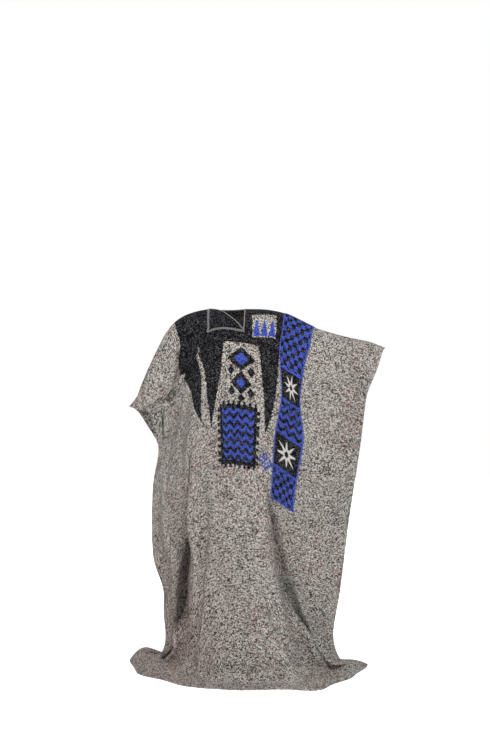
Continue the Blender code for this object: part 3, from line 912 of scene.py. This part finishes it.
def figures_group():
    """Dark and blue figures of the front: yoke, long points, chest panel and those below."""
    group, start, end = begin_group(
        "woven figures",
        [("Across", "Float", 0.0), ("Down", "Float", 0.0), ("Step", "Float", 0.0036)],
        [("Dark", "Float"), ("Blue", "Float")],
    )
    s, t = stepped(group, start)
    tooth = ((t / 0.0085).part() - 0.5) * 0.0050

    def point(top, tip, tip_s, left, right, bow_left, bow_right):
        """A long point between two bowed edges, from its top down to its tip."""
        q = t.ranged(top, tip)
        hump = q * q.flip() * 4.0
        left_edge = q * (tip_s - left) + left + hump * bow_left - tooth
        right_edge = q * (tip_s - right) + right + hump * bow_right + tooth
        return (s > left_edge) * (s < right_edge) * within(t, top - 0.002, tip)

    yoke_left = profile(t, [(0.0, -0.226), (0.018, -0.236), (0.078, -0.282), (0.124, -0.338)])
    yoke_end = profile(s, [(-0.34, 0.124), (-0.205, 0.146), (-0.150, 0.170), (-0.08, 0.186)])
    dark = (s > yoke_left) * (s < 0.30) * (t < yoke_end)
    for shape in (
        (0.121, 0.455, -0.165, -0.335, -0.212, -0.011, 0.005),
        (0.140, 0.492, -0.110, -0.201, -0.013, 0.008, 0.004),
        (0.190, 0.504, 0.180, 0.133, 0.224, 0.004, 0.018),
    ):
        dark = dark.most(point(*shape))
    dark = dark.most(within(s, 0.128, 0.224) * within(t, 0.17, 0.20))

    # Light chest panel with a row of blue triangles
    panel_s = s - (t - 0.07) * 0.11
    panel_t = t + (s - 0.095) * 0.24
    panel = within(panel_s, 0.093, 0.189) * within(panel_t, 0.070, 0.163)
    teeth = ((panel_s - 0.093) / 0.032).part() * 2.0 - 1.0
    blue = panel * (panel_t.ranged(0.088, 0.160) > teeth.away())
    blue = blue * within(panel_t, 0.0, 0.158)
    dark = dark * panel.flip()

    # Stepped lozenges down the middle
    def lozenge(x, y, half_x, half_y):
        return ((s - x).away() / half_x + (t - y).away() / half_y) < 1.0

    middle = 0.057
    for size in ((0.248, 0.064, 0.046), (0.338, 0.050, 0.044), (0.394, 0.018, 0.016)):
        dark = dark.most(lozenge(middle, *size))
    sides = (s - middle).away()
    for y in (0.293, 0.372):
        wings = (((sides - 0.046).away() / 0.018 + (t - y).away() / 0.020) < 1.0)
        dark = dark.most(wings)
    for size in ((0.248, 0.032, 0.024), (0.338, 0.022, 0.020)):
        blue = blue.most(lozenge(middle, *size))

    # Middle panel: zigzag bands in a square-toothed border
    from_middle = s - 0.040
    block_s, block_t = from_middle.away(), (t - 0.532).away()
    tooth_t = ((t / 0.027).part() < 0.5) * 0.013
    tooth_s = ((from_middle / 0.027).part() < 0.5) * 0.013
    border = (block_s < tooth_t + 0.098) * (block_t < 0.112)
    border = border.most((block_t < tooth_s + 0.112) * (block_s < 0.098))
    wave = (from_middle / 0.043).part() * 2.0 - 1.0
    bands = ((t + wave.away() * 0.020) / 0.032).part() < 0.52
    inner = (block_s < 0.083) * (block_t < 0.098)
    dark = dark.most(border)
    blue = blue.most(inner * bands)

    # Small crosshatched patch by the strip
    across, down = givens(group, start, "Across", "Down")
    patch_s, patch_t = across - 0.190, down - 0.604
    patch = patch_s.away() / 0.038 + patch_t.away() / 0.036
    hatch = ((patch_s + patch_t) / 0.0165).part() < 0.30
    hatch = hatch.most(((patch_s - patch_t) / 0.0165).part() < 0.30)
    blue = blue.most((patch < 1.0) * hatch.flip()).most(within(patch, 0.84, 1.0))
    feed(group, end.inputs["Dark"], dark)
    feed(group, end.inputs["Blue"], blue)
    return group


def strip_group():
    """Blocks of the shoulder strip: checks, zigzags and eight-pointed stars."""
    group, start, end = begin_group(
        "strip blocks",
        [("Across", "Float", 0.0), ("Down", "Float", 0.0), ("Step", "Float", 0.0030)],
        [("Blue", "Float"), ("Light", "Float")],
    )
    s, t = stepped(group, start)
    half = STRIP_WIDTH / 2
    square = 0.0195
    checks = (((s / square).whole() + (t / square).whole()) * 0.5).part() < 0.25
    zigzag = ((t + ((s / 0.0433).part() * 2.0 - 1.0).away() * 0.020) / 0.031).part() < 0.5
    blue = checks * within(t, 0.0, 0.226)
    blue = blue.most(zigzag * within(t, 0.340, 0.466)).most(checks * within(t, 0.596, 0.80))
    edge = (s - half).away() > half - 0.0065
    blue = blue.most(edge)
    for border in (0.226, 0.340, 0.466, 0.596):
        blue = blue.most((t - border).away() < 0.0042)
    blue = blue.most(t > 0.713)
    light = None
    for x, y, size, twist in ((half, 0.283, 0.048, 0.10), (half - 0.002, 0.531, 0.054, 0.02)):
        px, py = s - x, t - y
        turned = py.math("ARCTAN2", px) * (8 / (2 * math.pi)) + twist * 8
        away = (px * px + py * py).math("SQRT")
        slope = (turned.part() - 0.5).away() * 2.0
        reach = slope.flip() * (1 / 0.32 - 1) + 1.0
        ray = (away < reach.math("POWER", -1.0) * size) * (away > size * 0.20)
        light = ray if light is None else light.most(ray)
    feed(group, end.inputs["Blue"], blue)
    feed(group, end.inputs["Light"], light)
    return group


def new_material(name):
    made = bpy.data.materials.new(name)
    made.use_nodes = True
    return made, made.node_tree, made.node_tree.nodes["Principled BSDF"]


def emboss(tree, shader, height, strength, distance):
    relief = tree.nodes.new("ShaderNodeBump")
    relief.inputs["Strength"].default_value = strength
    relief.inputs["Distance"].default_value = distance
    feed(tree, relief.inputs["Height"], height)
    feed(tree, shader.inputs["Normal"], relief.outputs[0])


def woven_material(name, make_colour):
    """A cloth material; make_colour(tree) gives its colour, height and roughness."""
    made, tree, shader = new_material(name)
    colour, height, roughness = make_colour(tree)
    feed(tree, shader.inputs["Base Color"], colour)
    feed(tree, shader.inputs["Roughness"], roughness)
    emboss(tree, shader, height, 0.35, 0.0012)
    shader.inputs["Sheen Weight"].default_value = 0.02
    shader.inputs["Sheen Roughness"].default_value = 0.6
    shader.inputs["Specular IOR Level"].default_value = 0.05
    return made


MATERIALS = {}


def yarn(tree, kind, across, down):
    """The weave in one of the robe's yarn mixes, read at a place on the cloth."""
    dyes = bpy.context.scene.robe_colours
    pitch = bpy.context.scene.robe_sizes.yarn_pitch
    # Light and dark yarn, stray yarn, and the dark share, softness and stray share
    mixes = {
        "grey": (dyes.light, dyes.dark, dyes.stray, 0.505, 0.12, 0.95),
        "charcoal": (dyes.charcoal_fleck, dyes.charcoal, dyes.dark, 0.68, 0.10, 0.10),
        "blue": (dyes.blue, dyes.blue_shade, dyes.charcoal, 0.46, 0.14, 0.20),
    }
    light, dark, stray, share, soft, strays = mixes[kind]
    return place_group(
        tree,
        MATERIALS["weave"],
        {
            "Across": across,
            "Down": down,
            "Light Yarn": (*light, 1),
            "Dark Yarn": (*dark, 1),
            "Stray Yarn": (*stray, 1),
            "Dark Share": share,
            "Softness": soft,
            "Stray Share": strays,
            "Yarn Pitch": pitch,
        },
    )


def plain_cloth(kind):
    def make(tree):
        across, down = cloth_spot(tree)
        weave = yarn(tree, kind, across, down)
        return weave.outputs["Color"], weave.outputs["Height"], weave.outputs["Roughness"]

    return make


def painted_side_shade(tree, colour, across, down):
    """Painted shade: a darker, warmer tone multiplied in towards the lower part of the right side.
    """
    side = (across * -1.0).ranged(-0.10, 0.35, 0.0, 1.0) * down.ranged(0.35, 1.05)
    shade_tint = (*bpy.context.scene.robe_colours.side_shade_tint, 1)
    return blend(tree, side, colour, shade_tint, "MULTIPLY")


def front_cloth(tree):
    across, down = cloth_spot(tree, "cloth")
    figures = place_group(tree, MATERIALS["figures"], {"Across": across, "Down": down})
    across, down = cloth_spot(tree)
    dark, blue = Field(tree, figures.outputs["Dark"]), Field(tree, figures.outputs["Blue"])
    grey, black, dyed = (yarn(tree, kind, across, down) for kind in ("grey", "charcoal", "blue"))
    # Painted shade darkens the lower part of the right side
    colour = painted_side_shade(tree, grey.outputs["Color"], across, down)
    colour = blend(tree, dark, colour, black.outputs["Color"])
    colour = blend(tree, blue, colour, dyed.outputs["Color"])
    height = Field(tree, grey.outputs["Height"]) + dark.most(blue) * 0.25
    return colour, height, grey.outputs["Roughness"]


def back_cloth(tree):
    across, down = cloth_spot(tree, "cloth")
    tooth = ((across / 0.017).part() - 0.5).away() * 0.012
    yoke = (across.away(-0.006) < down * -0.05 + 0.222) * (down < tooth + 0.125)
    across, down = cloth_spot(tree)
    grey, black = yarn(tree, "grey", across, down), yarn(tree, "charcoal", across, down)
    # Painted shade darkens the lower part of the right side
    colour = painted_side_shade(tree, grey.outputs["Color"], across, down)
    colour = blend(tree, yoke, colour, black.outputs["Color"])
    return colour, Field(tree, grey.outputs["Height"]) + yoke * 0.25, grey.outputs["Roughness"]


def strip_cloth(tree):
    across, down = cloth_spot(tree)
    blocks = place_group(tree, MATERIALS["blocks"], {"Across": across, "Down": down})
    blue, light = Field(tree, blocks.outputs["Blue"]), Field(tree, blocks.outputs["Light"])
    black, dyed, grey = (yarn(tree, kind, across, down) for kind in ("charcoal", "blue", "grey"))
    colour = blend(tree, blue, black.outputs["Color"], dyed.outputs["Color"])
    colour = blend(tree, light, colour, (*bpy.context.scene.robe_colours.star, 1))
    height = Field(tree, grey.outputs["Height"]) + blue * 0.2 + light * 0.6
    return colour, height, black.outputs["Roughness"]


def thread_material(name, colour, depth):
    """Twisted thread: ply lines and lint on Object coordinates."""
    made, tree, shader = new_material(name)
    where = tree.nodes.new("ShaderNodeTexCoord")
    split = tree.nodes.new("ShaderNodeSeparateXYZ")
    tree.links.new(where.outputs["Object"], split.inputs[0])
    x, y, z = (Field(tree, socket) for socket in split.outputs)
    lint = noise(tree, (x + y) * 700.0, (z - y) * 700.0, 2.0)
    ply = ((x + z * 0.8 + y * 0.6) * 520.0).part().away(0.5) * 2.0
    tone = blend(tree, lint.ranged(0.35, 0.65), (*depth, 1), (*colour, 1))
    feed(tree, shader.inputs["Base Color"], tone)
    feed(tree, shader.inputs["Roughness"], lint.ranged(0.3, 0.7, 0.70, 0.92))
    emboss(tree, shader, ply + lint, 0.4, 0.0006)
    shader.inputs["Sheen Weight"].default_value = 0.2
    return made


def material(name):
    """A finish of the robe, made the first time it is asked for."""
    if "weave" not in MATERIALS:
        MATERIALS["weave"] = tweed_group()
        MATERIALS["figures"] = figures_group()
        MATERIALS["blocks"] = strip_group()
    dyes = bpy.context.scene.robe_colours
    makers = {
        "front cloth": lambda: woven_material("front cloth", front_cloth),
        "back cloth": lambda: woven_material("back cloth", back_cloth),
        "reverse": lambda: woven_material("reverse of the cloth", plain_cloth("grey")),
        "patch cloth": lambda: woven_material("patch cloth", plain_cloth("charcoal")),
        "strip cloth": lambda: woven_material("strip cloth", strip_cloth),
        "cord": lambda: thread_material("grey cord", dyes.cord, dyes.cord_shade),
        "thread": lambda: thread_material("hem thread", dyes.thread, dyes.dark),
    }
    if name not in MATERIALS:
        MATERIALS[name] = makers[name]()
    return MATERIALS[name]


# Settings, operators and panel


def measure(label, what, size, unit="LENGTH"):
    return bpy.props.FloatProperty(name=label, description=what, default=size, unit=unit)


def portion(label, what, share):
    return bpy.props.FloatProperty(name=label, description=what, default=share, subtype="FACTOR")


def dye(label, what, colour):
    return bpy.props.FloatVectorProperty(
        name=label, description=what, default=colour, size=3, subtype="COLOR", min=0, max=1
    )


class RobeSizes(bpy.types.PropertyGroup):
    """Sizes of the robe's cloth and trims"""

    thickness: measure("Cloth thickness", "Thickness of the panels", 0.0026)
    crease: portion("Creases", "Share of the small creases' depth", 1.0)
    yarn_pitch: measure("Yarn pitch", "Distance between yarns", 0.0034)
    hem: measure("Hem", "Distance of the hem stitches from the edge", 0.020)
    stitch_pitch: measure("Stitch pitch", "Distance between hem stitches", 0.0105)
    chain_pitch: measure("Chain pitch", "Length of a chain stitch", 0.0078)
    thread: measure("Thread", "Half of the thread's thickness", 0.00062)
    ply: measure("Ply", "Thickness of each of the neck cord's strands", 0.0025)


class RobeColours(bpy.types.PropertyGroup):
    """Colours of the robe's yarns and threads"""

    light: dye("Light yarn", "Light yarn of the grey cloth", (0.50, 0.470, 0.430))
    dark: dye("Dark yarn", "Dark yarn of the grey cloth", (0.034, 0.029, 0.027))
    stray: dye("Stray yarn", "Red-brown flecks in the grey cloth", (0.17, 0.030, 0.034))
    # Painted shade: this tint darkens and warms the lower part of the right side
    side_shade_tint: dye("Warm tint", "Tint of the lower part of the right side", (0.93, 0.85, 0.84))
    charcoal: dye("Charcoal", "Yarn of the dark figures", (0.0030, 0.0030, 0.0042))
    charcoal_fleck: dye("Charcoal fleck", "Flecks in the dark figures", (0.095, 0.096, 0.102))
    blue: dye("Blue", "Yarn of the blue figures", (0.060, 0.098, 0.44))
    blue_shade: dye("Blue shade", "Dark flecks in the blue figures", (0.016, 0.022, 0.13))
    star: dye("Star", "Light yarn of the stars", (0.52, 0.50, 0.46))
    cord: dye("Cord", "Grey of the neck cord", (0.34, 0.33, 0.32))
    cord_shade: dye("Cord shade", "Dark of the neck cord", (0.12, 0.12, 0.12))
    thread: dye("Thread", "Colour of the hem stitches", (0.30, 0.28, 0.26))


class StageSettings(bpy.types.PropertyGroup):
    """Floor, lights and camera"""

    floor: measure("Floor", "Half of the floor's width", 9.0)
    key: measure("Key light", "Power of the main light", 172.0, "POWER")
    fill: measure("Fill light", "Power of the second light", 30.0, "POWER")
    sky: portion("Surround", "Strength of the white surround", 0.46)
    distance: measure("Camera distance", "From the camera to the robe", 5.0)


def aim(thing, target):
    thing.rotation_euler = (Vector(target) - thing.location).to_track_quat("-Z", "Y").to_euler()


class ROBE_OT_stage(bpy.types.Operator):
    """Makes the floor, the lights and the camera"""

    bl_idname = "robe.stage"
    bl_label = "Stage"

    def soft_light(self, name, place, size, power):
        light = bpy.data.lights.new(name, "AREA")
        light.shape, light.size, light.energy = "DISK", size, power
        lamp = bpy.data.objects.new(name, light)
        lamp.location = place
        aim(lamp, (0.05, 0.0, -0.65))
        bpy.context.scene.collection.objects.link(lamp)

    def execute(self, context):
        scene, stage = context.scene, context.scene.robe_stage
        half = stage.floor
        floor = new_piece(
            "floor",
            [(x * half, y * half, FLOOR) for x, y in ((-1, -1), (1, -1), (1, 1), (-1, 1))],
            [(0, 1, 2, 3)],
        )
        paint, tree, shader = new_material("pale floor")
        shader.inputs["Base Color"].default_value = (0.93, 0.93, 0.93, 1)
        shader.inputs["Roughness"].default_value = 0.9
        shader.inputs["Specular IOR Level"].default_value = 0.1
        where = tree.nodes.new("ShaderNodeTexCoord")
        away = tree.nodes.new("ShaderNodeVectorMath")
        away.operation = "LENGTH"
        tree.links.new(where.outputs["Object"], away.inputs[0])
        glow = Field(tree, away.outputs["Value"]).ranged(1.0, 2.4, 0.30, 1.0, eased=True)
        feed(tree, shader.inputs["Emission Color"], vector(tree, glow, glow, glow))
        rays = tree.nodes.new("ShaderNodeLightPath")
        straight = Field(tree, rays.outputs["Is Camera Ray"]).ranged(0.0, 1.0, 0.35, 1.0)
        feed(tree, shader.inputs["Emission Strength"], straight)
        floor.data.materials.append(paint)
        world = bpy.data.worlds.new("white surround")
        world.use_nodes = True
        ground = world.node_tree.nodes["Background"]
        ground.inputs["Color"].default_value = (1, 1, 1, 1)
        path = world.node_tree.nodes.new("ShaderNodeLightPath")
        seen = Field(world.node_tree, path.outputs["Is Camera Ray"])
        feed(world.node_tree, ground.inputs["Strength"], seen.ranged(0.0, 1.0, stage.sky, 1.0))
        scene.world = world
        for name, place, size, power in LIGHTS:
            self.soft_light(name, place, size, getattr(stage, power))
        lens = bpy.data.cameras.new("camera")
        lens.sensor_fit = "VERTICAL"
        lens.sensor_width = lens.sensor_height = FILM
        lens.lens = FILM * FOCAL / PICTURE
        camera = bpy.data.objects.new("camera", lens)
        camera.location = (CAMERA_X, -stage.distance, CAMERA_Z)
        camera.rotation_euler = (math.pi / 2, 0, 0)
        scene.collection.objects.link(camera)
        scene.camera = camera
        scene.view_settings.view_transform = "Standard"
        return {"FINISHED"}


def on_cloth(side, s, v, off):
    """A path off metres outwards of a panel's middle, and the cloth's facing along it."""
    return drape(side).at(s, v, off), drape(side).facing(s, v)


def hem_path(side):
    s = np.linspace(-HALF_SPAN + HEM_ENDS, HALF_SPAN - HEM_ENDS, 200)
    hem = bpy.context.scene.robe_sizes.hem
    return on_cloth(side, s, 1 - hem / column_length(side, s), CLOTH / 2)


def cuff_path(side, half):
    cuff = CUFF_LEFT if half < 0 else CUFF_RIGHT
    v = np.linspace(0.004, cuff.share * 0.97, 40)
    return on_cloth(side, np.full(40, half * (HALF_SPAN - CUFF_INSET)), v, CLOTH / 2)


class ROBE_OT_panels(bpy.types.Operator):
    """Makes the front and the back with their hem stitches"""

    bl_idname = "robe.panels"
    bl_label = "Panels"

    def execute(self, context):
        sizes = context.scene.robe_sizes
        for side, name in ((FRONT, "front"), (BACK, "back")):
            points, faces, maps = panel_points(side)
            piece = new_piece(name + "_panel", points, faces, **maps)
            dress(piece, "cloth", material(name + " cloth"), material("reverse"))
            weld(piece, flip=side == FRONT)
            thicken(piece, sizes.thickness, inside=1)
            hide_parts(name)
            rows = [stitches(*hem_path(side), sizes)]
            rows += [stitches(*cuff_path(side, half), sizes) for half in (-1, 1)]
            sewn = new_piece(name + "_hem_stitches", *joined(rows))
            dress(sewn, "cloth", material("thread"))
            s = np.linspace(-HALF_SPAN, HALF_SPAN, 200)
            lengths = column_length(side, s)
        return {"FINISHED"}


def laid_cloth(name, node, slot, finish, s, v, off, places):
    """A trim's cloth on the front, at points (s, v), in place of its solid."""
    points = drape(FRONT).at(s, v, off).reshape(-1, 3)
    places = np.stack(places, axis=2).reshape(-1, 2)
    piece = new_piece(name, points, grid_faces(*v.shape).tolist(), weave=places)
    weld(piece, flip=True)
    thicken(piece, TRIM_CLOTH)
    dress(piece, slot, material(finish))
    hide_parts(node)
    return piece


def patch_left(v):
    """Left edge of the neck patch, which slants with the drape."""
    return mix(NECK_LEFT - 0.001, PATCH_SIDES[0], smooth(0.0, NECK_SHARE, v))


class ROBE_OT_neck_patch(bpy.types.Operator):
    """Makes the three-cornered patch below the neck and its chain-stitched outline"""

    bl_idname = "robe.neck_patch"
    bl_label = "Neck patch"

    def execute(self, context):
        sizes = context.scene.robe_sizes
        share_down = np.linspace(0, 1, 26)[:, None]
        share_over = np.linspace(0, 1, 31)[None, :]
        start = neck_top(FRONT, mix(NECK_LEFT, PATCH_SIDES[1], share_over)) + PATCH_TOP
        v = mix(start, mix(*PATCH_FOOT, share_over), share_down)
        s = mix(patch_left(v), PATCH_SIDES[1] + 0 * v, share_over + 0 * v)
        edge_over = np.minimum(share_over, 1 - share_over)
        edge = np.minimum(edge_over, np.minimum(share_down, 1 - share_down))
        off = TRIM_OUT + TRIM_CLOTH / 2 + PATCH_PUFF * np.sqrt(np.clip(edge * 9, 0, 1))
        length = column_length(FRONT, 0.0)
        places = (s + UV_SHIFT, v * column_length(FRONT, s))
        patch = laid_cloth(
            "neck_patch_cloth", "neck_patch", "dark_cloth", "patch cloth", s, v, off, places
        )
        left_v = np.linspace(0.014, PATCH_FOOT[0], 30)
        foot_s = np.linspace(patch_left(PATCH_FOOT[0]), NECK_RIGHT - 0.004, 50)
        foot_v = np.linspace(*PATCH_FOOT, 50) + 0.0008
        # The rows beside the left edge move across; those at the foot only move down
        parts = []
        for s, v, apart in ((patch_left(left_v) - 0.001, left_v, 1), (foot_s, foot_v, 0)):
            facing = drape(FRONT).facing(s, v)
            for shift in CHAIN_ROWS:
                path = drape(FRONT).at(s + shift * apart, v + shift / length, TRIM_STITCHES)
                parts.append(chain(path, facing, sizes))
        outline = new_piece("patch_chain", *joined(parts))
        dress(outline, "cord", material("cord"))
        return {"FINISHED"}


def strip_across(t, share):
    """s of the shoulder strip, at a share of its width."""
    return mix(along(STRIP_ROWS, "t", "left", t), along(STRIP_ROWS, "t", "right", t), share)


class ROBE_OT_strip(bpy.types.Operator):
    """Makes the decorated strip from the shoulder to the hip"""

    bl_idname = "robe.shoulder_strip"
    bl_label = "Shoulder strip"

    def execute(self, context):
        sizes = context.scene.robe_sizes
        first, last = STRIP_ROWS[0].t, STRIP_ROWS[-1].t
        t = np.linspace(first, last, 150)[:, None]
        share = np.linspace(0, 1, 29)[None, :]
        s = strip_across(t, share)
        t = t + 0 * s
        edge = np.minimum(np.minimum(share, 1 - share) * 14, 1) + 0 * t
        strip = laid_cloth(
            "strip_cloth",
            "shoulder_strip",
            "strip_cloth",
            "strip cloth",
            s,
            t / column_length(FRONT, s),
            STRIP_OUT + STRIP_PUFF * np.sqrt(edge),
            (share * STRIP_WIDTH + UV_SHIFT + 0 * t, t),
        )
        rows = []
        at = np.linspace(first + 0.004, last - 0.004, 220)
        for inset in STITCH_LINES:
            s = strip_across(at, inset)
            path = on_cloth(FRONT, s, at / column_length(FRONT, s), TRIM_STITCHES)
            rows.append(stitches(*path, sizes))
        sewn = new_piece("strip_stitches", *joined(rows))
        dress(sewn, "strip_cloth", material("thread"))
        return {"FINISHED"}


def neck_edge(inset):
    """Path just inside the neck opening, and the cloth's facing along it."""
    length = column_length(FRONT, 0.0)
    s = np.linspace(NECK_LEFT, NECK_RIGHT, 60)
    diagonal = np.stack([s, neck_top(FRONT, s) * length], axis=1)
    rise = np.linspace(NECK_SHARE, 0, 31)[1:]
    upright = np.stack([np.full(30, NECK_RIGHT), rise * length], axis=1)
    nape = np.stack([s[::-1], -neck_top(BACK, s[::-1]) * length], axis=1)
    outline = np.concatenate([diagonal, upright, nape[1:-1]])
    before = unit(outline - np.roll(outline, 1, axis=0))
    after = unit(np.roll(outline, -1, axis=0) - outline)
    mitre = unit(np.stack([before[:, 1] + after[:, 1], -before[:, 0] - after[:, 0]], axis=1))
    stretch = np.maximum(0.36, mitre[:, 0] * after[:, 1] - mitre[:, 1] * after[:, 0])
    moved = outline + mitre * (inset / stretch)[:, None]
    path, up = [], []
    for s, t in moved:
        cloth = drape(FRONT if t >= 0 else BACK)
        path.append(cloth.at(s, abs(t) / length))
        up.append(cloth.facing(s, abs(t) / length))
    return np.array(path), np.array(up)


class ROBE_OT_neck_cord(bpy.types.Operator):
    """Makes the twisted cord round the neck opening"""

    bl_idname = "robe.neck_cord"
    bl_label = "Neck cord"

    def execute(self, context):
        sizes = context.scene.robe_sizes
        path, up = neck_edge(CORD / 2 + 2 * SEAM_GAP)
        path, up, gone = evenly(path, up, CORD_STEP, closed=True)
        side_way = unit(np.cross(headings(path, True), up))
        turns = round(gone[-1] / CORD_LAY)
        angle = 2 * math.pi * turns * np.arange(len(path)) / len(path)
        parts = []
        for phase in (0, math.pi):
            off = np.cos(angle + phase)[:, None] * side_way + np.sin(angle + phase)[:, None] * up
            strand = path + off * (CORD - sizes.ply) / 2
            parts.append(tube(strand, up, sizes.ply / 2, 8, closed=True))
        cord = new_piece("neck_cord", *joined(parts))
        dress(cord, "cord", material("cord"))
        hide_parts("neck_edging")
        return {"FINISHED"}


class ROBE_PT_panel(bpy.types.Panel):
    """Lists the robe's settings and pieces"""

    bl_idname = "ROBE_PT_panel"
    bl_label = "Robe"
    bl_space_type = "VIEW_3D"
    bl_region_type = "UI"
    bl_category = "Robe"

    def draw(self, context):
        scene = context.scene
        for group in (scene.robe_sizes, scene.robe_colours, scene.robe_stage):
            for name in group.__annotations__:
                self.layout.prop(group, name)
        for operator in OPERATORS:
            self.layout.operator(operator.bl_idname)


OPERATORS = (ROBE_OT_stage, ROBE_OT_panels, ROBE_OT_neck_patch, ROBE_OT_strip, ROBE_OT_neck_cord)
CLASSES = (RobeSizes, RobeColours, StageSettings, *OPERATORS, ROBE_PT_panel)


def register():
    for item in CLASSES:
        bpy.utils.register_class(item)
    bpy.types.Scene.robe_sizes = bpy.props.PointerProperty(type=RobeSizes)
    bpy.types.Scene.robe_colours = bpy.props.PointerProperty(type=RobeColours)
    bpy.types.Scene.robe_stage = bpy.props.PointerProperty(type=StageSettings)


def unregister():
    for name in ("robe_sizes", "robe_colours", "robe_stage"):
        delattr(bpy.types.Scene, name)
    for item in reversed(CLASSES):
        bpy.utils.unregister_class(item)


def main():
    register()
    bpy.ops.robe.stage()
    bpy.ops.robe.panels()
    bpy.ops.robe.neck_patch()
    bpy.ops.robe.shoulder_strip()
    bpy.ops.robe.neck_cord()


if __name__ == "__main__":
    main()
